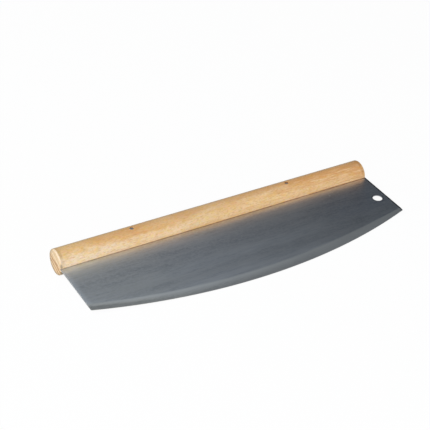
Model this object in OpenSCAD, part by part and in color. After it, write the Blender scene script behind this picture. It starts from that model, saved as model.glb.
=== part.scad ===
// Rocking pizza knife: a wide steel blade with an arched cutting edge, set in
// the saw slot of a round wooden handle and held there by two cross pins.
// Modelled lying on a table, with the handle and the middle of the edge touching
// it. X runs along the handle, the blade points towards -Y, and Z is up.
// All sizes are in millimetres.

/* [Handle] */
// Length of the round handle, from end face to end face
handle_len = 350; // [280:5:420]
// Diameter of the handle
handle_d = 26; // [24:0.5:34]
// Radius that softens the rim at each end of the handle
handle_round = 1.5; // [0.5:0.25:3]

/* [Blade] */
// How far each side of the blade stands in from the handle's end face
blade_inset = 0; // [0:0.5:10]
// How far the middle of the cutting edge reaches out from the handle's surface
blade_reach = 93; // [86:1:115]
// How much the cutting edge draws back from its middle to its two tips
edge_rise = 28.5; // [20:0.5:36]
// Thickness of the blade
blade_t = 1.2; // [0.8:0.1:2.5]
// Width of the ground bevel along the cutting edge, on both faces
bevel_w = 12; // [6:0.5:15]
// Thickness left at the cutting edge
edge_t = 0.3; // [0.1:0.05:0.5]
// Radius that takes the point off each tip of the cutting edge
tip_round = 1.5; // [0.5:0.25:4]
// How far the blade runs into the handle past the handle's axis
tang_past = 6; // [5:0.5:9]

/* [Hanging hole] */
// Diameter of the hanging hole
hang_hole_d = 10; // [6:0.5:14]
// Distance from the hole's centre to the blade's right side
hang_hole_side = 11; // [10:0.5:25]
// Distance from the hole's centre to the handle's surface
hang_hole_drop = 36; // [20:1:44]

/* [Cross pins] */
// Diameter of each cross pin
pin_d = 4; // [2.5:0.5:5]
// Distance from the handle's left end to the left pin
left_pin_in = 80.5; // [40:0.5:120]
// Distance from the handle's right end to the right pin
right_pin_in = 92; // [40:0.5:120]
// How far both pins stand behind the handle's axis, away from the edge
pin_past = 0.8; // [0:0.2:2]
// How deep the ends of a pin lie below the wood
pin_recess = 1.2; // [0.4:0.1:2.5]
// Chamfer at both ends of a pin
pin_chamfer = 0.4; // [0.1:0.1:0.8]

/* [Clearances] */
// Gap between the blade and each wall of its slot
slot_play = 0.1; // [0.05:0.05:0.3]
// Gap between a pin and the holes that it runs through, on the radius
pin_play = 0.05; // [0.05:0.05:0.2]

/* [Hidden] */
$fn = 96;

wood = "burlywood";
steel = "slategray";
pin_metal = "silver";

// How far each cut runs past the surface that it opens
cut_past = 1;
// Steps round the whole circle that the cutting edge is a short arc of
edge_steps = 720;
// Lets a tip's radius cross the sides that it joins, where it would just touch
tip_cross = 0.02;

handle_r = handle_d / 2;
// From the handle's axis to the middle of the cutting edge
edge_reach = handle_r + blade_reach;
blade_half = handle_len / 2 - blade_inset;
// The cutting edge is one arc through both tips and the middle of the edge
edge_r = (blade_half * blade_half + edge_rise * edge_rise) / (2 * edge_rise);
edge_centre_y = edge_r - edge_reach;

// The blade leans until the lower corner of its edge is level with the handle
edge_corner = norm([edge_reach, edge_t / 2]);
lean = asin(handle_r / edge_corner) - atan2(edge_t / 2, edge_reach);
// The handle's axis lies so that the origin is under the middle of the knife
axis_y = (edge_reach * cos(lean) + edge_t / 2 * sin(lean) - handle_r) / 2;

hang_hole_x = blade_half - hang_hole_side;
hang_hole_y = -handle_r - hang_hole_drop;
left_pin_x = -handle_len / 2 + left_pin_in;
right_pin_x = handle_len / 2 - right_pin_in;

// Stands the knife on the table. Children are drawn with the handle's axis on X
// and with the blade flat in the XY plane.
module at_rest() {
    translate([0, axis_y, handle_r]) {
        rotate([lean, 0, 0]) {
            children();
        }
    }
}

// Half of the handle's lengthwise section, with its rounded rims
module handle_section() {
    half_len = handle_len / 2;
    inner_r = handle_r - handle_round;
    translate([0, -half_len]) {
        square([inner_r, handle_len]);
    }
    translate([0, handle_round - half_len]) {
        square([handle_r, handle_len - 2 * handle_round]);
    }
    for (side = [-1, 1]) {
        translate([inner_r, side * (half_len - handle_round)]) {
            circle(r = handle_round);
        }
    }
}

// Saw slot along the whole handle, open towards the blade and at both ends
module blade_slot() {
    slot_len = handle_len + 2 * cut_past;
    slot_back = tang_past + slot_play;
    slot_t = blade_t + 2 * slot_play;
    translate([-slot_len / 2, -handle_r - cut_past, -slot_t / 2]) {
        cube([slot_len, handle_r + cut_past + slot_back, slot_t]);
    }
}

// Drill for the cross pins, through everything that a pin holds together
module pin_drills() {
    for (x = [left_pin_x, right_pin_x]) {
        translate([x, pin_past, 0]) {
            cylinder(h = handle_d + 2 * cut_past, r = pin_d / 2 + pin_play, center = true);
        }
    }
}

// Disc whose rim is ground thin on both faces: its rim is the cutting edge
module ground_disc() {
    flat_r = edge_r - bevel_w;
    rotate_extrude($fn = edge_steps) {
        polygon([
            [0, -blade_t / 2],
            [flat_r, -blade_t / 2],
            [edge_r, -edge_t / 2],
            [edge_r, edge_t / 2],
            [flat_r, blade_t / 2],
            [0, blade_t / 2]
        ]);
    }
}

// What is taken off outside the small radius at one tip of the edge
module tip_waste(side) {
    corner_x = blade_half - tip_round;
    inner_r = edge_r - tip_round;
    corner_y = sqrt(inner_r * inner_r - corner_x * corner_x);
    // Direction of the arc's outward normal where the small radius meets it
    normal = [corner_x, -corner_y] / inner_r;
    far = 2 * tip_round;
    translate([side * corner_x, edge_centre_y - corner_y, 0]) {
        mirror([side < 0 ? 1 : 0, 0, 0]) {
            difference() {
                linear_extrude(height = blade_t + 2 * cut_past, center = true) {
                    polygon([[0, 0], [far, 0], [far, -far], far * normal]);
                }
                cylinder(h = blade_t + 4 * cut_past, r = tip_round + tip_cross, center = true);
            }
        }
    }
}

// One-piece round handle with its slot and its pin holes
module handle() {
    color(wood) at_rest() {
        difference() {
            rotate([0, 90, 0]) {
                rotate_extrude() {
                    handle_section();
                }
            }
            blade_slot();
            pin_drills();
        }
    }
}

// Blade with straight sides, ground edge, hanging hole and pin holes
module blade() {
    color(steel) at_rest() {
        difference() {
            intersection() {
                translate([0, edge_centre_y, 0]) {
                    ground_disc();
                }
                translate([-blade_half, -edge_reach - cut_past, -blade_t]) {
                    cube([2 * blade_half, edge_reach + cut_past + tang_past, 2 * blade_t]);
                }
            }
            for (side = [-1, 1]) {
                tip_waste(side);
            }
            translate([hang_hole_x, hang_hole_y, 0]) {
                cylinder(h = blade_t + 2 * cut_past, d = hang_hole_d, center = true);
            }
            pin_drills();
        }
    }
}

// One cross pin, square to the blade, at the given place along the handle
module cross_pin(x) {
    half_len = handle_r - pin_recess;
    pin_r = pin_d / 2;
    end_r = pin_r - pin_chamfer;
    shank = half_len - pin_chamfer;
    at_rest() {
        translate([x, pin_past, 0]) {
            rotate_extrude() {
                polygon([
                    [0, -half_len],
                    [end_r, -half_len],
                    [pin_r, -shank],
                    [pin_r, shank],
                    [end_r, half_len],
                    [0, half_len]
                ]);
            }
        }
    }
}

module left_pin() {
    color(pin_metal) cross_pin(left_pin_x);
}

module right_pin() {
    color(pin_metal) cross_pin(right_pin_x);
}

handle();
blade();
left_pin();
right_pin();
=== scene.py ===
"""Rocking pizza knife: a wide steel blade with an arched ground edge, held by two cross
pins in the saw slot of a round wooden handle, lying on a pale table.

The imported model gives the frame. Its four pieces are made again here with the same
sizes, as finer meshes with softened edges. Sizes are in millimetres, and each mesh and
object is in metres.
"""

import math
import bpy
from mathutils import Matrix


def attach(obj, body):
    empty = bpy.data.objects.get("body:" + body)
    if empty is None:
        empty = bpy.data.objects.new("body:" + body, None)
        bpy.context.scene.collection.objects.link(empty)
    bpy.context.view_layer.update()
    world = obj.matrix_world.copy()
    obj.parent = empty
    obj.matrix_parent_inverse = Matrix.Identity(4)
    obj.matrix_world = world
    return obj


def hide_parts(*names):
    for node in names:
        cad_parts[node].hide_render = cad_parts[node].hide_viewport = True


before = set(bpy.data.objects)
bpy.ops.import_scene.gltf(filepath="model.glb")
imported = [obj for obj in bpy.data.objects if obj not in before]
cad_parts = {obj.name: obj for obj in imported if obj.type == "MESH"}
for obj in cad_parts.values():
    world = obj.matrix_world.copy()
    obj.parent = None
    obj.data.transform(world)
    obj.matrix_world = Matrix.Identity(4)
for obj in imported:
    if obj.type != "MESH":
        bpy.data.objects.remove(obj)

from types import SimpleNamespace

import bmesh
import bpy
from mathutils import Matrix, Vector, noise

bpy.context.view_layer.update()

MM = 0.001

# Sizes that part.scad names, in millimetres
HANDLE_LEN = 350.0
HANDLE_R = 13.0
HANDLE_ROUND = 1.5
BLADE_REACH = 93.0
EDGE_RISE = 28.5
BLADE_T = 1.2
BEVEL_W = 12.0
EDGE_T = 0.3
TIP_ROUND = 1.5
TANG_PAST = 6.0
HANG_HOLE_R = 5.0
HANG_HOLE_SIDE = 11.0
HANG_HOLE_DROP = 36.0
PIN_R = 2.0
LEFT_PIN_IN = 80.5
RIGHT_PIN_IN = 92.0
PIN_PAST = 0.8
SLOT_PLAY = 0.1
PIN_PLAY = 0.05
# How deep the two pins lie, which the photo shows a little uneven
PIN_RECESSES = (0.5, 1.0)

# Sizes that follow from them
HALF_LEN = HANDLE_LEN / 2
EDGE_REACH = HANDLE_R + BLADE_REACH
EDGE_R = (HALF_LEN ** 2 + EDGE_RISE ** 2) / (2 * EDGE_RISE)
EDGE_CENTRE_Y = EDGE_R - EDGE_REACH
SLOT_HALF = BLADE_T / 2 + SLOT_PLAY
SLOT_BACK = TANG_PAST + SLOT_PLAY
PIN_NODES = ("left_pin", "right_pin")
PIN_XS = (LEFT_PIN_IN - HALF_LEN, HALF_LEN - RIGHT_PIN_IN)
HANG_HOLE_X = HALF_LEN - HANG_HOLE_SIDE
HANG_HOLE_Y = -HANDLE_R - HANG_HOLE_DROP

# Small softening that the solids leave out
SLOT_LIP = 0.22
SLOT_LIP_CHANGE = 0.12
# About how long the two wanders of the slot's lip are, along the handle
SLOW_WANDER = 9.0
QUICK_WANDER = 3.0
PIN_HOLE_BREAK = 0.25
PIN_HOLE_BREAK_FROM = 0.1
SIDE_BREAK = 0.2
HANG_HOLE_BREAK = 0.3
HANG_HOLE_BREAK_DEPTH = 0.18
# A softened side takes off at most this share of the thickness
MOST_THINNED = 0.6
# A cut pin end from its rim inwards: radius, and depth below the end's highest ring
PIN_END = ((PIN_R, 0.4), (PIN_R - 0.1, 0.12), (PIN_R - 0.35, 0.0), (0.8, 0.08))

# The ground bevel narrows towards the two ends by this much, and in this way
BEVEL_LOSS_LEFT = 3.2
BEVEL_LOSS_RIGHT = 7.8
LEFT_LOSS_POWER = 1.5
RIGHT_LOSS_POWER = 3.0

# How far each cutter runs past the surface that it opens
CUT_PAST = 1.0

# How finely the meshes are divided
LIP_STEPS = 4
RIM_STEPS = 8
ROUND_STEPS = 96
HANDLE_STEPS = 130
SLOT_WALL_YS = (-9.0, -3.0, 2.0)
FLAT_STEPS = 12
BEVEL_STEPS = 6
BLADE_STEPS = 160
# Distances in from the blade's sides where its mesh is divided, past the softening
SIDE_DIVISIONS = (0.4, 0.7, 1.0, 1.5)
PIN_SEGMENTS = 48
HANG_HOLE_SEGMENTS = 96

# How the knife lies: the blade leans until its edge touches the table
EDGE_CORNER = math.hypot(EDGE_REACH, EDGE_T / 2)
LEAN = math.asin(HANDLE_R / EDGE_CORNER) - math.atan2(EDGE_T / 2, EDGE_REACH)
AXIS_Y = (EDGE_REACH * math.cos(LEAN) + EDGE_T / 2 * math.sin(LEAN) - HANDLE_R) / 2
AT_REST = (
    Matrix.Translation((0.0, AXIS_Y * MM, HANDLE_R * MM))
    @ Matrix.Rotation(LEAN, 4, "X")
)


def steps(start, end, count):
    """Evenly spaced numbers from start to end, with both of them."""
    return [start + (end - start) * i / count for i in range(count + 1)]


def arc(centre, radius, start, end, count):
    """Points of an arc from one angle to another, as (y, z), angles in degrees."""
    return [
        (
            centre[0] + radius * math.cos(math.radians(a)),
            centre[1] + radius * math.sin(math.radians(a)),
        )
        for a in steps(start, end, count)
    ]


def mesh_object(name, mesh):
    """A piece at rest on the table."""
    mesh.transform(AT_REST)
    piece = bpy.data.objects.new(name, mesh)
    bpy.context.scene.collection.objects.link(piece)
    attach(piece, "root")
    return piece


def loft(name, sections):
    """A closed mesh through cross-sections that all have the same number of points."""
    form = bmesh.new()
    rings = [[form.verts.new(Vector(p) * MM) for p in section] for section in sections]
    for ring, following in zip(rings, rings[1:]):
        for i in range(len(ring)):
            j = (i + 1) % len(ring)
            form.faces.new((ring[i], ring[j], following[j], following[i]))
    form.faces.new(tuple(reversed(rings[0])))
    form.faces.new(rings[-1])
    bmesh.ops.recalc_face_normals(form, faces=form.faces)
    mesh = bpy.data.meshes.new(name)
    form.to_mesh(mesh)
    form.free()
    return mesh


def drill(x, y, outline, segments):
    """A turned form, upright at (x, y), from (radius, height) points."""
    sections = []
    for radius, height in outline:
        ring = arc((x, y), radius, 0, 360 - 360 / segments, segments - 1)
        sections.append([(px, py, height) for px, py in ring])
    return loft("drill", sections)


def cut(mesh, cutters):
    """The mesh less the cutters."""
    scene = bpy.context.scene
    body = bpy.data.objects.new("body", mesh)
    scene.collection.objects.link(body)
    tools = []
    for cutter in cutters:
        tool = bpy.data.objects.new("tool", cutter)
        scene.collection.objects.link(tool)
        tools.append(tool)
        step = body.modifiers.new("cut", "BOOLEAN")
        step.operation = "DIFFERENCE"
        step.solver = "EXACT"
        step.object = tool
    bpy.context.view_layer.update()
    evaluated = body.evaluated_get(bpy.context.evaluated_depsgraph_get())
    result = bpy.data.meshes.new_from_object(evaluated)
    result.name = mesh.name
    for item in [body, *tools]:
        bpy.data.objects.remove(item)
    for spare in [mesh, *cutters]:
        bpy.data.meshes.remove(spare)
    return result


def smooth(mesh, sharp_angle=28.0):
    """Smooth shading, broken where two faces meet at more than the angle."""
    mesh.shade_smooth()
    mesh.set_sharp_from_angle(angle=math.radians(sharp_angle))


def lip_radius(x, side):
    """How much the slot's edge is worn round: the saw left it a little uneven."""
    slow = noise.noise(Vector((x / SLOW_WANDER, 7.3 * side, 2.1)))
    quick = noise.noise(Vector((x / QUICK_WANDER, 3.7 * side, 8.4)))
    return SLOT_LIP + SLOT_LIP_CHANGE * (slow + 0.5 * quick)


def lip(radius, wall, soft, side):
    """Rounded edge between the slot's wall and the wood's round, wall side first."""
    centre_z = wall + soft
    centre_y = -math.sqrt((radius - soft) ** 2 - centre_z ** 2)
    outward = math.degrees(math.atan2(centre_z, centre_y))
    points = arc((centre_y, centre_z), soft, 270, outward, LIP_STEPS)
    return [(y, side * z) for y, z in points]


def handle_section(x, radius):
    """Outline of the slotted handle at x, from the slot's upper wall round the wood."""
    wall = SLOT_HALF
    upper = lip(radius, wall, lip_radius(x, 1), 1)
    lower = lip(radius, wall, lip_radius(x, -1), -1)
    first = math.degrees(math.atan2(upper[-1][1], upper[-1][0]))
    last = math.degrees(math.atan2(lower[-1][1], lower[-1][0]))
    round_part = arc((0, 0), radius, first, last, ROUND_STEPS)[1:-1]
    lower_wall = [(y, -wall) for y in SLOT_WALL_YS]
    back = [(SLOT_BACK, -wall), (SLOT_BACK, wall)]
    upper_wall = [(y, wall) for y in reversed(SLOT_WALL_YS)]
    outline = upper + round_part + lower[::-1] + lower_wall + back + upper_wall
    return [(x, y, z) for y, z in outline]


def handle_sections():
    """Cross-sections from the left end to the right end, with rounded rims."""
    stations = []
    for turn in steps(90, 0, RIM_STEPS):
        a = math.radians(turn)
        inward = HANDLE_ROUND * (1 - math.sin(a))
        radius = HANDLE_R - HANDLE_ROUND * (1 - math.cos(a))
        stations.append((inward, radius))
    left = [(-HALF_LEN + i, r) for i, r in stations]
    right = [(HALF_LEN - i, r) for i, r in reversed(stations)]
    span = HALF_LEN - HANDLE_ROUND
    middle = [(x, HANDLE_R) for x in steps(-span, span, HANDLE_STEPS)[1:-1]]
    return [handle_section(*station) for station in left + middle + right]


def mirrored(upper):
    """(radius, height) points of a form that is the same above and below the blade."""
    return [(radius, -height) for radius, height in reversed(upper)] + upper


def pin_hole(x):
    """Cutter for a cross pin's hole, with its mouths slightly broken."""
    hole_r = PIN_R + PIN_PLAY
    mouth_r = hole_r + PIN_HOLE_BREAK
    mouth_z = HANDLE_R - PIN_HOLE_BREAK_FROM
    inner_z = mouth_z - PIN_HOLE_BREAK
    far = HANDLE_R + CUT_PAST
    upper = [(hole_r, inner_z), (mouth_r, mouth_z), (mouth_r, far)]
    return drill(x, PIN_PAST, mirrored(upper), PIN_SEGMENTS)


def make_handle():
    """Round wooden handle with its saw slot and pin holes."""
    mesh = cut(loft("handle_wood_body", handle_sections()), [pin_hole(x) for x in PIN_XS])
    smooth(mesh)
    piece = mesh_object("wooden_handle", mesh)
    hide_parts("handle")
    mesh.materials.append(wood_material())


def edge_y(x):
    """Where the cutting edge runs at x, with the small radius at each tip."""
    x = abs(x)
    corner_x = HALF_LEN - TIP_ROUND
    inner_r = EDGE_R - TIP_ROUND
    corner_y = EDGE_CENTRE_Y - math.sqrt(inner_r ** 2 - corner_x ** 2)
    meets = corner_x + TIP_ROUND * corner_x / inner_r
    if x <= meets:
        return EDGE_CENTRE_Y - math.sqrt(EDGE_R ** 2 - x ** 2)
    return corner_y - math.sqrt(max(0.0, TIP_ROUND ** 2 - (x - corner_x) ** 2))


def bevel_width(x):
    """Width of the ground bevel at x, which narrows towards both ends."""
    share = x / HALF_LEN
    right_loss = BEVEL_LOSS_RIGHT * max(0.0, share) ** RIGHT_LOSS_POWER
    left_loss = BEVEL_LOSS_LEFT * max(0.0, -share) ** LEFT_LOSS_POWER
    return BEVEL_W - right_loss - left_loss


def half_thickness(x, y):
    """Half of the blade's thickness: full on the flat, ground down towards the edge."""
    to_edge = EDGE_R - math.hypot(x, y - EDGE_CENTRE_Y)
    share = min(1.0, max(0.0, to_edge / bevel_width(x)))
    return (EDGE_T + (BLADE_T - EDGE_T) * share) / 2


def blade_section(x, drop):
    """Outline of the blade at x, thinned by drop near its sides."""
    grind_y = EDGE_CENTRE_Y - math.sqrt((EDGE_R - bevel_width(x)) ** 2 - x ** 2)
    low = edge_y(x)
    ys = steps(TANG_PAST, grind_y, FLAT_STEPS)[:-1] + steps(grind_y, low, BEVEL_STEPS)
    heights = [half_thickness(x, y) for y in ys]
    top = [(x, y, h - min(drop, MOST_THINNED * h)) for y, h in zip(ys, heights)]
    return top + [(x, y, -z) for x, y, z in reversed(top)]


def blade_sections():
    """Cross-sections from side to side, with softened sides."""
    stations = []
    for turn in steps(90, 0, LIP_STEPS):
        a = math.radians(turn)
        stations.append((SIDE_BREAK * (1 - math.sin(a)), SIDE_BREAK * (1 - math.cos(a))))
    stations += [(inward, 0.0) for inward in SIDE_DIVISIONS]
    left = [(-HALF_LEN + i, d) for i, d in stations]
    right = [(HALF_LEN - i, d) for i, d in reversed(stations)]
    span = HALF_LEN - SIDE_DIVISIONS[-1]
    middle = [(x, 0.0) for x in steps(-span, span, BLADE_STEPS)[1:-1]]
    return [blade_section(*station) for station in left + middle + right]


def hanging_hole():
    """Cutter for the hanging hole, with its rims softened."""
    face = BLADE_T / 2
    rim_r = HANG_HOLE_R + HANG_HOLE_BREAK
    inner_z = face - HANG_HOLE_BREAK_DEPTH
    upper = [(HANG_HOLE_R, inner_z), (rim_r, face), (rim_r, face + CUT_PAST)]
    return drill(HANG_HOLE_X, HANG_HOLE_Y, mirrored(upper), HANG_HOLE_SEGMENTS)


def tang_hole(x):
    """Cutter for a pin's hole in the tang."""
    upper = [(PIN_R + PIN_PLAY, BLADE_T / 2 + CUT_PAST)]
    return drill(x, PIN_PAST, mirrored(upper), PIN_SEGMENTS)


UV_NAME = "brushed"


def map_along(mesh):
    """A UV map with U across the brushed lines, the way their glints spread."""
    layer = mesh.uv_layers.new(name=UV_NAME)
    for corner in mesh.loops:
        place = mesh.vertices[corner.vertex_index].co
        layer.data[corner.index].uv = (place.y, place.x)


def make_blade():
    """Steel blade with its ground edge and hanging hole."""
    cutters = [hanging_hole()] + [tang_hole(x) for x in PIN_XS]
    mesh = cut(loft("steel_blade_body", blade_sections()), cutters)
    smooth(mesh, sharp_angle=20.0)
    map_along(mesh)
    piece = mesh_object("steel_blade", mesh)
    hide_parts("blade")
    mesh.materials.append(steel_material())


def make_pin(node, x, recess, lit_to):
    """Cross pin with cut ends, a little dished, and a softened rim."""
    end = HANDLE_R - recess
    upper = [(radius, end - depth) for radius, depth in PIN_END]
    mesh = drill(x, PIN_PAST, mirrored(upper), PIN_SEGMENTS)
    smooth(mesh)
    piece = mesh_object("cut_" + node, mesh)
    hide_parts(node)
    mesh.materials.append(pin_material(x, lit_to))


def srgb(red, green, blue):
    """A colour as a picture shows it, 0 to 255, turned into the shader's numbers."""
    def linear(value):
        share = value / 255
        if share <= 0.04045:
            return share / 12.92
        return ((share + 0.055) / 1.055) ** 2.4
    return (linear(red), linear(green), linear(blue), 1.0)


class Graph:
    """Adds and joins the nodes of one material or world."""

    def __init__(self, owner):
        owner.use_nodes = True
        self.tree = owner.node_tree
        self.tree.nodes.clear()

    def add(self, kind, inputs=None, **settings):
        """Adds a node, sets what it is asked, and fills or links its inputs."""
        node = self.tree.nodes.new(kind)
        for name, value in settings.items():
            setattr(node, name, value)
        for key, value in (inputs or {}).items():
            if isinstance(value, bpy.types.NodeSocket):
                self.tree.links.new(value, node.inputs[key])
            else:
                node.inputs[key].default_value = value
        return node

    def math(self, operation, a, b=0.0, clamp=False):
        """The result of one operation on one or two values."""
        node = self.add("ShaderNodeMath", {0: a, 1: b}, operation=operation, use_clamp=clamp)
        return node.outputs[0]

    def product(self, first, *others):
        """All the values multiplied together."""
        for other in others:
            first = self.math("MULTIPLY", first, other)
        return first

    def ramp(self, value, start, end, low, high, way="LINEAR"):
        """Goes evenly from low to high while value goes from start to end."""
        inputs = {0: value, 1: start, 2: end, 3: low, 4: high}
        node = self.add("ShaderNodeMapRange", inputs, interpolation_type=way)
        return node.outputs[0]

    def fade(self, value, start, end, low=0.0, high=1.0):
        """Goes smoothly from low to high while value goes from start to end."""
        return self.ramp(value, start, end, low, high, "SMOOTHSTEP")

    def off(self, value, middle):
        """How far the value is from the middle, on either side."""
        return self.math("ABSOLUTE", self.math("ADD", value, -middle))

    def near(self, value, middle, full, reach):
        """1 within full of the middle, and 0 beyond reach of it."""
        return self.fade(self.off(value, middle), reach, full)

    def mix(self, share, a, b, blend="MIX"):
        """Colour a with share of colour b."""
        inputs = {0: share, 6: a, 7: b}
        node = self.add("ShaderNodeMix", inputs, data_type="RGBA", blend_type=blend)
        return node.outputs[2]

    def tint(self, share, colour, tone):
        """The colour multiplied by share of the tone."""
        return self.mix(share, colour, tone, "MULTIPLY")

    def scaled(self, vector, scale, shift=(0.0, 0.0, 0.0)):
        """The vector times scale plus shift."""
        inputs = {0: vector, 1: scale, 2: shift}
        return self.add("ShaderNodeVectorMath", inputs, operation="MULTIPLY_ADD").outputs[0]

    def noise(self, vector, lengths, detail=2.0, rough=0.5, twist=0.0, shift=0.0):
        """Noise whose spots are about as long as lengths says, in millimetres."""
        scale = tuple(1.0 / length for length in lengths)
        inputs = {
            "Vector": self.scaled(vector, scale, (shift, shift * 0.7, shift * 1.3)),
            "Scale": 1.0,
            "Detail": detail,
            "Roughness": rough,
            "Distortion": twist,
        }
        return self.add("ShaderNodeTexNoise", inputs).outputs["Fac"]

    def dot(self, vector, direction):
        """How far the vector reaches along the direction."""
        inputs = {0: vector, 1: direction}
        return self.add("ShaderNodeVectorMath", inputs, operation="DOT_PRODUCT").outputs["Value"]

    def distance(self, vector, centre, scale):
        """Distance from centre, with each axis counted as much as scale says."""
        scaled_centre = tuple(c * s for c, s in zip(centre, scale))
        inputs = {0: self.scaled(vector, scale), 1: scaled_centre}
        return self.add("ShaderNodeVectorMath", inputs, operation="DISTANCE").outputs["Value"]

    def place(self):
        """Where a point is, from the handle's middle, with X along the handle and Z
        square to the blade, in millimetres."""
        inputs = {
            "Vector": self.add("ShaderNodeTexCoord").outputs["Object"],
            "Location": AT_REST.to_translation(),
            "Rotation": AT_REST.to_euler(),
            "Scale": (MM, MM, MM),
        }
        return self.add("ShaderNodeMapping", inputs, vector_type="TEXTURE").outputs[0]

    def bump(self, height, depth_mm, strength=1.0):
        """The surface's direction where height, from 0 to 1, raises it by depth_mm."""
        inputs = {"Height": height, "Distance": depth_mm * MM, "Strength": strength}
        return self.add("ShaderNodeBump", inputs).outputs["Normal"]

    def finish(self, shader, bump=None, output="ShaderNodeOutputMaterial"):
        """Makes the shader the surface of the material or world."""
        if bump is not None:
            self.tree.links.new(bump, shader.inputs["Normal"])
        self.add(output, {"Surface": shader.outputs[0]})


# Which axes a distance counts: the two of the blade's plane, or the two round the handle
IN_PLANE = (1.0, 1.0, 0.0)
ROUND_HANDLE = (0.0, 1.0, 1.0)


def places(g):
    """Where a point of the knife is, measured in each way that a finish needs."""
    place = g.place()
    axes = g.add("ShaderNodeSeparateXYZ", {0: place}).outputs
    return SimpleNamespace(place=place, along=axes["X"], y=axes["Y"], z=axes["Z"])


PALE_WOOD = srgb(228, 199, 160)
CREAM_WOOD = srgb(240, 220, 192)
TAN_WOOD = srgb(224, 188, 140)
ORANGE_WOOD = srgb(204, 148, 94)
# The heartwood at the left end, in the left half and in the right half
HEART_END = srgb(219, 184, 136)
HEART_LEFT = srgb(213, 170, 118)
HEART_RIGHT = srgb(208, 156, 101)
LIGHT_GRAIN = srgb(238, 208, 164)
FLECK = srgb(176, 156, 118)
PORE = srgb(184, 124, 70)
# A brown stain, also used as painted shade at the slot and on the pins' ends
STAIN_AND_SHADE = srgb(156, 92, 50)
# Painted shade and sheen: wood seen at a grazing angle turns greyer
GRAZING_SHADE_SHEEN = srgb(156, 144, 122)
END_PALE = srgb(219, 191, 150)
END_WARM = srgb(236, 201, 153)
END_STREAK = srgb(162, 114, 64)
END_BRIGHT = srgb(252, 224, 186)
# Painted highlight on the rounded rim of an end
END_RIM_HIGHLIGHT = srgb(240, 222, 198)
END_SHADE = srgb(150, 130, 98)
# Painted shade in two small spots at the left end
CORNER_SHADE = srgb(112, 98, 78)

# How patches of the wood differ from the wood round them
YELLOWER = (1.0, 0.98, 0.72, 1.0)
PINKER = (1.03, 0.925, 0.94, 1.0)
GREENER = (0.94, 0.99, 1.0, 1.0)
DARKER = (0.90, 0.87, 0.80, 1.0)
RIM_TONE = (0.80, 0.79, 0.78, 1.0)
TANNED = (0.94, 0.925, 0.88, 1.0)
BLEACHED = (1.0, 1.05, 1.18, 1.0)
GREYED = (1.0, 1.09, 1.27, 1.0)

# Across the handle towards its upper back, where the heartwood lies
HEART_WAY = (0.0, 0.8, 0.6)
# Growth rings lie this way across the handle, seen on its end
RING_WAY = (0.012, -0.45, 0.89)
# Streaks on the ends are crossed this way
END_STREAK_WAY = (0.0, -0.30, 0.95)
# The upper part of an end, which is paler, lies this way
END_PALE_WAY = (0.0, -0.4, 1.0)
# The rim of an end has painted shade on this side, towards the table and the back
END_SHADE_WAY = (0.0, 0.7, -0.7)

# Two small spots of painted shade at the left end, and how the first is drawn out over the blade
SHADE_OVER = (-173.9, -12.5714286, 2.8571429)
SHADE_OVER_SCALE = (1.0, 0.35, 0.42)
SHADE_UNDER = (-172.2, -11.9, -4.8)


def heart_share(g, at):
    """How much of the wood is orange heartwood: two long patches, wavy at their edge."""
    wander = g.noise(at.place, (34.0, 9.0, 9.0), 4.0, 0.65, 0.4)
    left_patch = g.fade(g.off(at.along, -100.0), 30.0, 80.0, 6.5, 0.0)
    right_patch = g.fade(at.along, 72.0, 105.0, 0.0, 4.5)
    right_end = g.fade(at.along, 145.0, 168.0, 0.0, 6.5)
    left_end = g.fade(at.along, -156.0, -170.0, 0.0, 6.0)
    height = g.math("ADD", at.across, -4.2)
    for part in (left_patch, right_patch, right_end, left_end):
        height = g.math("ADD", height, part)
    height = g.math("ADD", height, g.math("MULTIPLY", wander, 13.4))
    return g.fade(height, 0.5, 10.0, 0.0, 0.90), wander


def main_wood(g, at):
    """Pale sapwood, warmer to the right, and heartwood, whose colour it gives back too."""
    drift = g.noise(at.place, (60.0, 10.0, 10.0), 2.0, 0.5, 0.0, 17.0)
    pale = g.math("ADD", at.along, g.math("MULTIPLY", drift, 110.0))
    colour = g.mix(g.fade(pale, -20.0, 115.0), PALE_WOOD, TAN_WOOD)
    heartwood = g.mix(g.fade(at.along, -130.0, -155.0), HEART_LEFT, HEART_END)
    heartwood = g.mix(g.fade(at.along, -60.0, 110.0), heartwood, HEART_RIGHT)
    heart, wander = heart_share(g, at)
    colour = g.mix(heart, colour, heartwood)

    # A cream stripe follows the edge of the heartwood
    in_stripe = g.math("ADD", at.across, g.math("MULTIPLY", wander, 22.0))
    stripe_side = g.fade(at.along, 70.0, -70.0, 0.05, 0.38)
    stripe = g.product(g.near(in_stripe, 6.0, 1.0, 5.5), stripe_side)
    colour = g.mix(stripe, colour, CREAM_WOOD)

    warm = g.noise(at.place, (26.0, 7.0, 7.0), 3.0, 0.6, 0.5, 61.0)
    warm_share = g.product(
        g.fade(warm, 0.46, 0.64),
        g.math("ADD", heart, 0.15),
        g.fade(at.along, -160.0, -110.0, 0.1, 0.42),
    )
    return g.mix(warm_share, colour, ORANGE_WOOD), heartwood


def mottled(g, at, colour):
    """Small spots that are yellower, pinker, greener or darker than the wood."""
    yellows = g.noise(at.place, (4.5, 2.2, 2.2), 3.0, 0.6, 0.3, 29.0)
    colour = g.tint(g.fade(yellows, 0.44, 0.64), colour, YELLOWER)
    pinks = g.noise(at.place, (5.0, 1.8, 1.8), 3.0, 0.6, 0.3, 53.0)
    colour = g.tint(g.fade(pinks, 0.52, 0.66), colour, PINKER)
    colour = g.tint(g.fade(pinks, 0.48, 0.34), colour, GREENER)
    shades = g.noise(at.place, (3.4, 1.5, 1.5), 4.0, 0.7, 0.2, 37.0)
    return g.tint(g.fade(shades, 0.45, 0.66, 0.0, 0.7), colour, DARKER)


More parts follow.
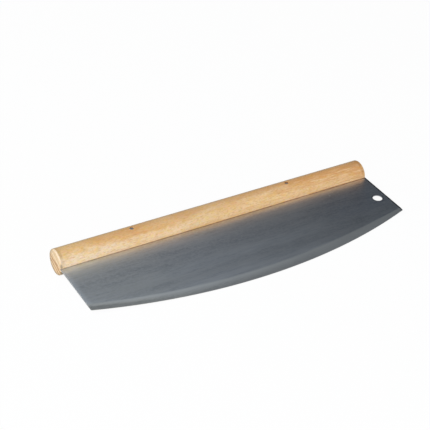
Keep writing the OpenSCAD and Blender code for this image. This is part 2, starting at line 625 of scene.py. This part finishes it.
def light_grain(g, at, colour):
    """Short pale lines of grain, mostly to the right."""
    grains = g.noise(at.place, (15.0, 1.6, 1.6), 4.0, 0.7, 0.3, 73.0)
    share = g.product(
        g.fade(at.along, -40.0, 90.0, 0.12, 0.50),
        g.fade(at.across, 10.0, 2.5),
        g.fade(grains, 0.48, 0.64),
    )
    return g.mix(share, colour, LIGHT_GRAIN)


def toned_patches(g, at, colour):
    """Large patches where the wood is tanned, bleached or greyed, and painted shade dimming the
    right end's upper side.
    """
    tanned = g.product(g.near(at.along, -20.0, 14.0, 32.0), g.fade(at.across, 7.0, 3.0))
    tanned_low = g.product(
        g.near(at.along, 20.0, 30.0, 52.0),
        g.fade(at.across, -4.0, -7.0, 0.0, 0.7),
    )
    colour = g.tint(g.math("MAXIMUM", tanned, tanned_low), colour, TANNED)

    bleached = g.product(g.fade(at.along, -95.0, -125.0), g.fade(at.across, 0.0, -4.0))
    bleached_low = g.product(
        g.fade(at.along, -10.0, 20.0),
        g.fade(at.across, -7.5, -8.8, 0.0, 0.7),
    )
    colour = g.tint(g.math("MAXIMUM", bleached, bleached_low), colour, BLEACHED)

    greyed = g.product(g.near(at.along, 5.0, 50.0, 95.0), g.fade(at.across, 1.0, 4.5))
    greyed_back = g.product(g.fade(at.along, -60.0, 30.0), g.fade(at.across, 8.0, 9.5))
    greyed = g.math("MULTIPLY", g.math("MAXIMUM", greyed, greyed_back), 0.85)
    colour = g.tint(greyed, colour, GREYED)

    # Painted shade dims the upper side of the right end
    far_end_shade = g.product(
        g.fade(at.along, 148.0, 166.0, 0.0, 0.6),
        g.fade(at.across, 1.0, 6.0),
    )
    return g.tint(far_end_shade, colour, RIM_TONE)


def growth_rings(g, at, colour, heartwood):
    """Faint rings in the wood, clearer to the right and in some patches."""
    wave = g.noise(at.place, (70.0, 8.0, 8.0), 2.0, 0.5, 0.0, 3.0)
    rings = g.math("ADD", g.dot(at.place, RING_WAY), g.math("MULTIPLY", wave, 5.0))
    ring = g.math("SINE", g.math("MULTIPLY", rings, 3.6))
    patches = g.noise(at.place, (30.0, 5.0, 5.0), 2.0, 0.5, 0.0, 47.0)
    share = g.product(
        g.fade(at.along, -20.0, 80.0, 0.10, 0.36),
        g.fade(patches, 0.40, 0.62, 0.4, 1.8),
        g.fade(ring, 0.2, 1.0),
    )
    return g.mix(share, colour, heartwood)


def flecks_and_pores(g, at, colour):
    """Grey flecks, mostly at the left, and short dark pores, which it gives back too."""
    flecks = g.noise(at.place, (2.4, 1.2, 1.2), 2.0, 0.6, 0.0, 11.0)
    fleck_side = g.fade(at.along, 20.0, -120.0, 0.05, 0.32)
    fleck_share = g.product(g.fade(flecks, 0.54, 0.68, 0.0, 0.7), fleck_side)
    colour = g.mix(fleck_share, colour, FLECK)
    pores = g.noise(at.place, (3.0, 0.8, 0.8), 2.0, 0.6, 0.0, 23.0)
    pore_side = g.fade(at.along, -60.0, 90.0, 0.38, 0.42)
    colour = g.mix(g.product(g.fade(pores, 0.54, 0.66), pore_side), colour, PORE)
    return colour, pores


def end_grain(g, at):
    """Pale above the slot and warmer below it, with streaks that run along the slot."""
    height = g.dot(at.place, END_PALE_WAY)
    wave = g.noise(at.place, (40.0, 7.0, 3.0), 2.0, 0.5, 0.0, 31.0)
    lines = g.math("ADD", g.dot(at.place, END_STREAK_WAY), g.math("MULTIPLY", wave, 3.0))
    streaks = g.fade(g.math("SINE", g.math("MULTIPLY", lines, 1.35)), -0.1, 0.9)
    lower = g.mix(g.math("MULTIPLY", streaks, 0.85), END_WARM, END_STREAK)
    upper = g.mix(g.math("MULTIPLY", streaks, 0.5), END_PALE, END_WARM)
    bright_band = g.fade(g.off(height, 5.5), 1.9, 0.4, 0.0, 0.7)
    upper = g.mix(bright_band, upper, END_BRIGHT)
    colour = g.mix(g.fade(height, 1.0, 4.2), lower, upper)
    beside_slot = g.product(
        g.near(at.z, 0.3, 0.6, 1.9),
        g.fade(at.y, -9.0, -4.0, 0.0, 0.8),
        g.fade(at.y, 7.0, 3.5),
    )
    return g.mix(beside_slot, colour, END_STREAK)


def inner_band(g, at):
    """How much of the darker band just inside each rim shows, mostly on top."""
    worn_in = g.noise(at.place, (6.0, 3.0, 3.0), 2.0, 0.6, 0.0, 67.0)
    return g.product(
        g.fade(at.end_x, HALF_LEN - 5.5, HALF_LEN - 3.2),
        g.fade(at.end_x, HALF_LEN - 1.2, HALF_LEN - 2.0),
        g.fade(worn_in, 0.30, 0.60, 0.5, 1.0),
        g.fade(at.z, 3.0, 7.0, 0.35, 1.0),
    )


def rim_shares(g, at):
    """How much of the rounded rim of an end carries a painted highlight, and how much painted
    shade.
    """
    below = g.dot(at.place, END_SHADE_WAY)
    worn = g.noise(at.place, (5.0, 2.6, 2.6), 2.0, 0.6, 0.0, 43.0)
    # Painted highlight on the rim's lit side
    pale = g.product(
        g.fade(at.from_axis, HANDLE_R - 1.2, HANDLE_R - 0.5),
        g.fade(at.end_x, HALF_LEN - 2.0, HALF_LEN - 1.3),
        g.fade(below, -4.0, -6.5),
        g.fade(at.z, 6.0, 9.0, 0.12, 1.0),
        g.fade(worn, 0.36, 0.60, 0.35, 0.75),
        g.fade(at.along, 20.0, -20.0, 0.2, 1.0),
    )
    # Painted shade on the rim's side towards the table and the back
    rim_shade_share = g.product(
        g.fade(at.from_axis, HANDLE_R - 4.5, HANDLE_R - 1.5),
        g.fade(at.end_x, HALF_LEN - 1.5, HALF_LEN - 1.0),
        g.fade(below, -6.0, 0.0),
    )
    return pale, rim_shade_share


def corner_shade(g, at):
    """Painted shade in two small spots at the left end, just over and under the blade."""
    over = g.distance(at.place, SHADE_OVER, SHADE_OVER_SCALE)
    under = g.distance(at.place, SHADE_UNDER, (1.0, 1.0, 1.0))
    over_share = g.fade(over, 1.5, 0.5, 0.0, 0.6)
    under_share = g.fade(under, 3.8, 1.8, 0.0, 0.85)
    return g.math("MAXIMUM", over_share, under_share)


def handle_ends(g, at, colour):
    """End grain, the rims with a painted highlight and painted shade, and two spots of painted
    shade.
    """
    colour = g.mix(at.end_share, colour, end_grain(g, at))
    colour = g.tint(inner_band(g, at), colour, RIM_TONE)
    # Painted highlight and painted shade on the rounded rims
    rim_highlight, rim_shade = rim_shares(g, at)
    colour = g.mix(rim_highlight, colour, END_RIM_HIGHLIGHT)
    colour = g.mix(g.math("MULTIPLY", rim_shade, 0.5), colour, END_SHADE)
    # Painted shade in two small spots at the left end
    return g.mix(corner_shade(g, at), colour, CORNER_SHADE)


def stained_and_shaded_slot(g, at, colour):
    """Handled wood is stained darker along the slot, uneven like the saw cut, with painted shade
    there and inside the slot.
    """
    saw = g.noise(at.place, (7.0, 40.0, 40.0), 2.0, 0.6, 0.0, 41.0)
    from_cut = g.math("SUBTRACT", g.math("ABSOLUTE", at.z), SLOT_HALF)
    cut_width = g.fade(saw, 0.3, 0.7, 0.45, 1.0)
    # Stain with painted shade along the wood's edge at the slot
    along_cut = g.product(
        g.fade(g.math("DIVIDE", from_cut, cut_width), 0.2, 0.9, 0.5, 0.0),
        g.fade(at.y, -6.0, -10.0),
        g.fade(at.along, 10.0, 110.0, 0.62, 1.0),
    )
    colour = g.mix(along_cut, colour, STAIN_AND_SHADE)
    # Painted shade inside the slot
    inside = g.product(
        g.fade(at.from_axis, HANDLE_R - 0.9, HANDLE_R - 0.3, 0.85, 0.0),
        g.math("SUBTRACT", 1.0, at.end_share, clamp=True),
    )
    colour = g.mix(inside, colour, STAIN_AND_SHADE)
    on_ends = g.product(
        g.fade(from_cut, 0.0, 0.25, 0.35, 0.0),
        g.fade(at.y, SLOT_BACK + 0.6, SLOT_BACK + 0.2),
        at.end_share,
    )
    return g.mix(on_ends, colour, STAIN_AND_SHADE)


def wood_material():
    """Sanded pale hardwood, with its grain along the handle and end grain on its ends."""
    material = bpy.data.materials.new("sanded_wood")
    g = Graph(material)
    at = places(g)
    at.across = g.dot(at.place, HEART_WAY)
    at.from_axis = g.distance(at.place, (0.0, 0.0, 0.0), ROUND_HANDLE)
    at.end_x = g.math("ABSOLUTE", at.along)
    at.end_share = g.fade(at.end_x, HALF_LEN - 1.5, HALF_LEN - 0.5)

    colour, heartwood = main_wood(g, at)
    colour = mottled(g, at, colour)
    colour = light_grain(g, at, colour)
    colour = toned_patches(g, at, colour)
    colour = growth_rings(g, at, colour, heartwood)
    colour, pores = flecks_and_pores(g, at, colour)
    colour = handle_ends(g, at, colour)
    colour = stained_and_shaded_slot(g, at, colour)

    # Painted shade and sheen: the wood turns greyer where it is seen at a grazing angle
    grazing = g.add("ShaderNodeLayerWeight", {"Blend": 0.5}).outputs["Facing"]
    colour = g.mix(g.fade(grazing, 0.58, 0.86, 0.0, 0.55), colour, GRAZING_SHADE_SHEEN)

    shader = g.add("ShaderNodeBsdfPrincipled", {
        "Base Color": colour,
        "Roughness": g.math("ADD", g.math("MULTIPLY", pores, 0.25), 0.42),
        "Specular IOR Level": 0.35,
    })
    g.finish(shader, g.bump(g.fade(pores, 0.5, 0.75, 1.0, 0.0), 0.06, 0.5))
    return material


STEEL = (0.62, 0.64, 0.665, 1.0)
STEEL_LIGHT = (0.73, 0.74, 0.75, 1.0)
STEEL_DIM = (0.53, 0.55, 0.575, 1.0)
# Painted highlight on the steel, also the colour of a scuff
HIGHLIGHT_AND_SCUFF_STEEL = (0.92, 0.95, 0.98, 1.0)
# Painted shade and dark reflection on the steel
SHADE_AND_DARK_REFLECTION_STEEL = (0.10, 0.105, 0.115, 1.0)

# Near the handle the steel is rubbed and wiped in places, with a painted warm reflection of the
# wood and painted shade
RUBBED_TONE = (0.88, 0.885, 0.90, 1.0)
WOOD_REFLECTION_TONE = (1.09, 0.975, 0.92, 1.0)
SHADED_TONE = (0.86, 0.87, 0.88, 1.0)
WIPED_TONE = (0.88, 0.91, 0.98, 1.0)
# Further out it is darker and bluer at the right, in painted shade, paler in soft bands and
# warmer at the left
RIGHT_SHADE_TONE = (0.86, 0.88, 0.925, 1.0)
BAND_TONE = (1.12, 1.12, 1.12, 1.0)
LEFT_TONE = (1.0, 0.995, 0.95, 1.0)
LEFT_GLOW = (1.13, 1.11, 1.07, 1.0)
CORNER_TONE = (1.06, 1.105, 1.15, 1.0)
BEVEL_TONE = (1.04, 1.005, 0.94, 1.0)

# The middle of the first soft band, and how far apart the bands are
BAND_Y = -64.0
BAND_STEP = 24.0
# A small scuff near the handle's right end
SCUFF = (121.3, -24.0, 0.0)

# Wood filler over the tang at the two ends of the slot
FILLER = srgb(192, 150, 98)
FILLER_PALE = srgb(222, 186, 140)


def brushed_steel(g, at):
    """Steel with fine lines, clouds and streaks. It gives back the first two as well."""
    lines = g.noise(at.place, (11.0, 1.3, 1.3), 3.0, 0.6)
    clouds = g.noise(at.place, (26.0, 13.0, 13.0), 3.0, 0.5, 0.0, 9.0)
    streaks = g.noise(at.place, (60.0, 5.0, 5.0), 2.0, 0.5, 0.0, 15.0)
    colour = g.mix(g.fade(lines, 0.34, 0.66), STEEL_DIM, STEEL)
    colour = g.mix(g.fade(clouds, 0.35, 0.7, 0.0, 0.3), colour, STEEL_LIGHT)
    streak_side = g.fade(at.along, 60.0, -120.0, 0.35, 0.65)
    streak_share = g.product(g.fade(streaks, 0.40, 0.62), streak_side)
    return g.mix(streak_share, colour, STEEL_LIGHT), lines, clouds


def toned_near_handle(g, at, colour):
    """How use has rubbed and wiped the steel near the handle, with a painted reflection of the
    wood and painted shade.
    """
    rubbed = g.product(g.fade(at.y, -64.0, -42.0), g.fade(at.y, -24.0, -38.0))
    rubbed_right = g.product(
        g.fade(at.along, 75.0, 125.0, 0.0, 0.9),
        g.fade(at.y, -13.0, -19.0),
    )
    colour = g.tint(g.math("MAXIMUM", rubbed, rubbed_right), colour, RUBBED_TONE)
    # Painted warm reflection of the wood in the steel near the handle
    wood_reflection = g.product(g.fade(at.y, -36.0, -14.0), g.fade(at.along, -172.0, -60.0))
    colour = g.tint(wood_reflection, colour, WOOD_REFLECTION_TONE)
    # Painted shade on the steel beside the handle
    shaded = g.product(
        g.fade(at.y, -24.0, -15.0),
        g.fade(at.along, -120.0, -50.0),
        g.fade(at.along, 90.0, 20.0),
    )
    colour = g.tint(shaded, colour, SHADED_TONE)
    wiped = g.product(
        g.fade(at.y, -26.0, -21.0),
        g.fade(at.y, -15.5, -18.5),
        g.near(at.along, 80.0, 30.0, 70.0),
    )
    return g.tint(wiped, colour, WIPED_TONE)


def toned_further_out(g, at, colour):
    """Broad changes of tone over the rest of the blade."""
    # Painted shade, darker and bluer, on the right of the blade
    far = g.product(
        g.fade(at.along, 75.0, 125.0),
        g.fade(at.y, -74.0, -56.0),
        g.fade(at.y, -18.0, -30.0),
    )
    colour = g.tint(far, colour, RIGHT_SHADE_TONE)
    turn = g.math("MULTIPLY", g.math("ADD", at.y, -BAND_Y), math.tau / BAND_STEP)
    bands = g.product(
        g.fade(at.y, -46.0, -58.0),
        g.fade(at.along, -130.0, -70.0),
        g.fade(at.along, 100.0, 40.0),
        g.fade(g.math("COSINE", turn), -1.0, 1.0),
    )
    colour = g.tint(bands, colour, BAND_TONE)
    colour = g.tint(g.fade(at.along, -40.0, -140.0), colour, LEFT_TONE)
    glow = g.product(
        g.fade(at.y, -12.0, -23.0),
        g.fade(at.y, -35.0, -28.0),
        g.fade(at.along, -80.0, -115.0),
    )
    colour = g.tint(glow, colour, LEFT_GLOW)
    corner = g.product(g.fade(at.along, -120.0, -155.0), g.fade(at.y, -24.0, -15.0))
    return g.tint(corner, colour, CORNER_TONE)


def gritty(g, at, colour):
    """Fine bright grit, more of it at the left."""
    grit = g.noise(at.place, (3.2, 2.2, 2.2), 3.0, 0.65, 0.0, 5.0)
    grit_side = g.fade(at.along, 120.0, -140.0, 0.35, 0.6)
    return g.mix(g.product(g.fade(grit, 0.38, 0.67), grit_side), colour, STEEL_LIGHT)


def bevel_places(g, at):
    """0 on the flat of the blade and 1 on the bevel, and how far in from the edge."""
    share = g.math("MULTIPLY", at.along, 1 / HALF_LEN)
    right = g.math("POWER", g.math("MAXIMUM", share, 0.0), RIGHT_LOSS_POWER)
    left_share = g.math("MAXIMUM", g.math("MULTIPLY", share, -1.0), 0.0)
    left = g.math("POWER", left_share, LEFT_LOSS_POWER)
    width = g.math("SUBTRACT", BEVEL_W, g.math("MULTIPLY", right, BEVEL_LOSS_RIGHT))
    width = g.math("SUBTRACT", width, g.math("MULTIPLY", left, BEVEL_LOSS_LEFT))
    from_centre = g.distance(at.place, (0.0, EDGE_CENTRE_Y, 0.0), IN_PLANE)
    inward = g.math("DIVIDE", g.math("SUBTRACT", EDGE_R, from_centre), width)
    return g.fade(inward, 1.10, 0.84), inward


def ground_bevel(g, at, colour):
    """The finely ground bevel and its share, with a painted highlight inwards and a painted dark
    reflection near the edge at the left.
    """
    bevel, inward = bevel_places(g, at)
    near_edge = g.math(
        "SUBTRACT",
        g.fade(at.along, -20.0, 120.0, -0.10, 0.8),
        g.fade(at.along, -90.0, -170.0, 0.0, 0.28),
    )
    near_flat = g.fade(at.along, -175.0, -115.0, 0.30, 0.8)
    rise_from = g.fade(at.along, -90.0, -165.0, 0.25, 0.45)
    # Painted highlight where this is above 0, and painted dark reflection where it is below
    ground = g.ramp(inward, rise_from, 0.8, near_edge, near_flat)
    bevel_darkening = g.math("MULTIPLY", ground, -1.0)
    highlight_share = g.product(bevel, g.math("MAXIMUM", ground, 0.0))
    dark_reflection_share = g.product(bevel, g.math("MAXIMUM", bevel_darkening, 0.0))
    colour = g.mix(highlight_share, colour, HIGHLIGHT_AND_SCUFF_STEEL)
    colour = g.mix(dark_reflection_share, colour, SHADE_AND_DARK_REFLECTION_STEEL)
    return g.tint(bevel, colour, BEVEL_TONE), bevel


def cut_sides(g, at, colour, bevel):
    """Painted highlight on the left side, and painted shade on the right side, the left end and
    the hanging hole's rim.
    """
    # Painted highlight on the left side
    left_side = g.product(
        g.fade(at.along, 6.0 - HALF_LEN, 0.5 - HALF_LEN, 0.0, 0.6),
        g.math("SUBTRACT", 1.0, bevel),
        g.fade(at.y, -14.0, -22.0),
    )
    colour = g.mix(left_side, colour, HIGHLIGHT_AND_SCUFF_STEEL)
    # Painted shade on the left end, the right side and the hanging hole's rim
    left_cut = g.fade(at.along, 0.4 - HALF_LEN, 0.1 - HALF_LEN, 0.0, 0.6)
    right_side = g.fade(at.along, HALF_LEN - 2.2, HALF_LEN - 1.0, 0.0, 0.95)
    from_hole = g.distance(at.place, (HANG_HOLE_X, HANG_HOLE_Y, 0.0), IN_PLANE)
    hole_rim = g.fade(from_hole, HANG_HOLE_R + 1.5, HANG_HOLE_R + 0.5, 0.0, 0.75)
    dark = g.math("MAXIMUM", g.math("MAXIMUM", right_side, left_cut), hole_rim)
    return g.mix(dark, colour, SHADE_AND_DARK_REFLECTION_STEEL)


def tang_in_slot(g, at, colour):
    """Painted shade on the steel at the slot, filler on the tang's two ends, and the filler's
    share.
    """
    # Painted shade on the steel where it meets the wood
    joint_shade = g.product(
        g.fade(at.y, -1.4 - HANDLE_R, 0.6 - HANDLE_R),
        g.fade(at.along, -165.0, -60.0, 0.12, 0.5),
    )
    colour = g.mix(joint_shade, colour, STAIN_AND_SHADE)
    filled = g.product(
        g.fade(g.math("ABSOLUTE", at.along), HALF_LEN - 0.5, HALF_LEN - 0.2),
        g.fade(at.y, 0.6 - HANDLE_R, 1.6 - HANDLE_R),
    )
    filler = g.mix(g.fade(at.y, -9.0, -4.0), FILLER_PALE, FILLER)
    return g.mix(filled, colour, filler), filled


def steel_roughness(g, at, lines, clouds):
    """Nearly even, and a little duller at the left."""
    rough = g.math("ADD", g.math("MULTIPLY", lines, 0.02), 0.26)
    rough = g.math("ADD", rough, g.math("MULTIPLY", clouds, 0.04))
    return g.math("ADD", rough, g.fade(at.along, 60.0, -160.0, 0.0, 0.035))


def steel_material():
    """Steel brushed along the knife, with a finely ground bevel."""
    material = bpy.data.materials.new("brushed_steel")
    g = Graph(material)
    at = places(g)
    colour, lines, clouds = brushed_steel(g, at)
    colour = toned_near_handle(g, at, colour)
    colour = toned_further_out(g, at, colour)
    colour = gritty(g, at, colour)
    colour, bevel = ground_bevel(g, at, colour)
    colour = cut_sides(g, at, colour, bevel)
    colour, filled = tang_in_slot(g, at, colour)
    from_scuff = g.distance(at.place, SCUFF, IN_PLANE)
    colour = g.mix(g.fade(from_scuff, 1.6, 0.4, 0.0, 0.6), colour, HIGHLIGHT_AND_SCUFF_STEEL)
    tangent = g.add("ShaderNodeTangent", direction_type="UV_MAP", uv_map=UV_NAME)
    shader = g.add("ShaderNodeBsdfPrincipled", {
        "Base Color": colour,
        "Roughness": steel_roughness(g, at, lines, clouds),
        "Metallic": g.math("SUBTRACT", 1.0, filled),
        "Anisotropic": 0.5,
        "Tangent": tangent.outputs[0],
    })
    g.finish(shader, g.bump(lines, 0.01, 0.05))
    return material


PIN_METAL = (0.48, 0.46, 0.42, 1.0)
PIN_BRIGHT = (0.78, 0.75, 0.70, 1.0)
# Painted shade of the recess on the pins' ends
PIN_SHADE = (0.08, 0.08, 0.08, 1.0)
# Painted shade of each pin's recess lies on this side of its end
PIN_SHADE_WAY = (0.45, 0.89, 0.0)
# How far across its end each pin is free of the painted shade, from its axis
PIN_LIT_TO = (-0.1, -0.3)


def pin_material(x, lit_to):
    """Cut metal, matt and scratched, with painted shade of its recess on its end past the given
    distance from the axis.
    """
    material = bpy.data.materials.new("cut_pin_metal")
    g = Graph(material)
    place = g.place()
    grain = g.noise(place, (0.5, 0.5, 0.5), 3.0, 0.6)
    colour = g.mix(grain, PIN_METAL, PIN_BRIGHT)
    to_recess_shade = g.dot(g.scaled(place, IN_PLANE, (-x, -PIN_PAST, 0.0)), PIN_SHADE_WAY)
    # Painted shade of the recess on one side of the end
    recess_shade = g.fade(to_recess_shade, lit_to, lit_to + 1.2)
    colour = g.mix(g.math("MULTIPLY", recess_shade, 0.9), colour, PIN_SHADE)
    from_axis = g.distance(place, (x, PIN_PAST, 0.0), IN_PLANE)
    # Painted shade, darkest at the rim
    rim = g.product(g.fade(from_axis, PIN_R - 0.6, PIN_R, 0.0, 0.5), recess_shade)
    colour = g.mix(rim, colour, STAIN_AND_SHADE)
    shader = g.add("ShaderNodeBsdfPrincipled", {
        "Base Color": colour,
        "Roughness": g.math("ADD", g.math("MULTIPLY", grain, 0.2), 0.35),
        "Metallic": 1.0,
    })
    g.finish(shader, g.bump(grain, 0.03, 0.5))
    return material


# Half the side of the table top, in metres
TABLE_HALF = 12.0
TABLE_PAINT = (0.92, 0.92, 0.92, 1.0)
WHITE = (1.0, 1.0, 1.0, 1.0)
# How much of what the camera sees of the table is plain white, and not light and shade
TABLE_WHITE_SHARE = 0.94


def make_floor():
    """A plain pale table top that keeps a soft shadow."""
    mesh = bpy.data.meshes.new("table_top")
    half = TABLE_HALF
    corners = [(-half, -half, 0), (half, -half, 0), (half, half, 0), (-half, half, 0)]
    mesh.from_pydata(corners, [], [(0, 1, 2, 3)])
    floor = bpy.data.objects.new("table_top", mesh)
    bpy.context.scene.collection.objects.link(floor)
    mesh.materials.append(floor_material())


def seen_directly(g):
    """1 where the camera looks, straight or in metal or glass, and 0 for other light."""
    rays = g.add("ShaderNodeLightPath").outputs
    seen = g.math("MAXIMUM", rays["Is Camera Ray"], rays["Is Glossy Ray"])
    return g.math("MAXIMUM", seen, rays["Is Transmission Ray"])


def floor_material():
    """White to the camera and in reflections, and a pale matt surface to the lamps."""
    material = bpy.data.materials.new("pale_table")
    g = Graph(material)
    white = g.add("ShaderNodeEmission", {"Color": WHITE, "Strength": 1.0})
    matt = g.add("ShaderNodeBsdfDiffuse", {"Color": TABLE_PAINT})
    share = g.math("MULTIPLY", seen_directly(g), TABLE_WHITE_SHARE)
    both = g.add("ShaderNodeMixShader", {0: share, 1: matt.outputs[0], 2: white.outputs[0]})
    g.finish(both)
    return material


# The studio's back lies this way, and it darkens to the right and low down
BACK_WAY = (0.42, 0.66, 0.62)
DIM_WAY = tuple(Vector((0.75, 0.2, -0.6)).normalized())
FRONT_LIGHT = 0.78
BACK_LIGHT = 0.48
DIM_LIGHT = 0.045
COOL_DIM = (0.90, 1.0, 1.12, 1.0)
# Near the table's horizon the studio is white, up to these heights of a unit direction
HORIZON_WHITE = 0.19
HORIZON_CLEAR = 0.26


def light_world():
    """Soft light from all round, dimmer to the right at the back."""
    world = bpy.data.worlds.new("studio")
    bpy.context.scene.world = world
    g = Graph(world)
    way = g.add("ShaderNodeTexCoord").outputs["Generated"]
    back = g.fade(g.dot(way, BACK_WAY), 0.30, 0.75)
    dim = g.fade(g.dot(way, DIM_WAY), -0.30, 0.20, BACK_LIGHT, DIM_LIGHT)
    strength = g.ramp(back, 0.0, 1.0, FRONT_LIGHT, dim)
    colour = g.mix(back, WHITE, COOL_DIM)
    light = g.add("ShaderNodeBackground", {"Color": colour, "Strength": strength})
    white = g.add("ShaderNodeBackground", {"Color": WHITE, "Strength": 1.0})
    low = g.fade(g.dot(way, (0.0, 0.0, 1.0)), HORIZON_CLEAR, HORIZON_WHITE)
    share = g.math("MULTIPLY", low, seen_directly(g))
    both = g.add("ShaderNodeMixShader", {0: share, 1: light.outputs[0], 2: white.outputs[0]})
    g.finish(both, output="ShaderNodeOutputWorld")


# Where the two lamps stand, in metres
KEY_PLACE = (-1.1, -1.35, 1.1)
BACK_PLACE = (-0.9, 0.9, 1.3)


def area_lamp(name, place, size, watts):
    """A square soft white lamp that points at the middle of the knife."""
    data = bpy.data.lights.new(name, "AREA")
    data.size = size
    data.energy = watts
    lamp = bpy.data.objects.new(name, data)
    bpy.context.scene.collection.objects.link(lamp)
    lamp.location = place
    lamp.rotation_euler = (-Vector(place)).to_track_quat("-Z", "Y").to_euler()


# The camera, fitted to the photo's outlines about the handle's middle: angles in
# degrees, lens and sensor in millimetres, the rest in metres
CAMERA_AZIMUTH = -30.39644
CAMERA_ELEVATION = 29.50846
CAMERA_ROLL = -0.49855
CAMERA_DISTANCE = 1.198825
CAMERA_LENS = 100.713
CAMERA_SENSOR = 36.0
CAMERA_RIGHT = -0.00118432
CAMERA_UP = -0.00071806


def make_camera():
    """A long lens at the photo's viewing angle, with no shift."""
    azimuth = math.radians(CAMERA_AZIMUTH)
    elevation = math.radians(CAMERA_ELEVATION)
    roll = math.radians(CAMERA_ROLL)
    back = Vector((
        math.sin(azimuth) * math.cos(elevation),
        -math.cos(azimuth) * math.cos(elevation),
        math.sin(elevation),
    ))
    level_right = (-back).cross(Vector((0, 0, 1))).normalized()
    level_up = level_right.cross(-back)
    right = level_right * math.cos(roll) + level_up * math.sin(roll)
    up = level_up * math.cos(roll) - level_right * math.sin(roll)
    handle_middle = Vector((0.0, AXIS_Y * MM, HANDLE_R * MM))
    place = handle_middle + back * CAMERA_DISTANCE + right * CAMERA_RIGHT + up * CAMERA_UP
    data = bpy.data.cameras.new("camera")
    data.sensor_width = CAMERA_SENSOR
    data.lens = CAMERA_LENS
    camera = bpy.data.objects.new("camera", data)
    bpy.context.scene.collection.objects.link(camera)
    turn = Matrix((right, up, back)).transposed().to_4x4()
    camera.matrix_world = Matrix.Translation(place) @ turn
    bpy.context.scene.camera = camera


make_camera()
make_floor()
light_world()
area_lamp("key", KEY_PLACE, size=1.0, watts=18.5)
area_lamp("back", BACK_PLACE, size=0.8, watts=7.0)
make_handle()
make_blade()
for node, x, recess, lit_to in zip(PIN_NODES, PIN_XS, PIN_RECESSES, PIN_LIT_TO):
    make_pin(node, x, recess, lit_to)
bpy.context.scene.view_settings.view_transform = "Standard"

bpy.context.view_layer.update()
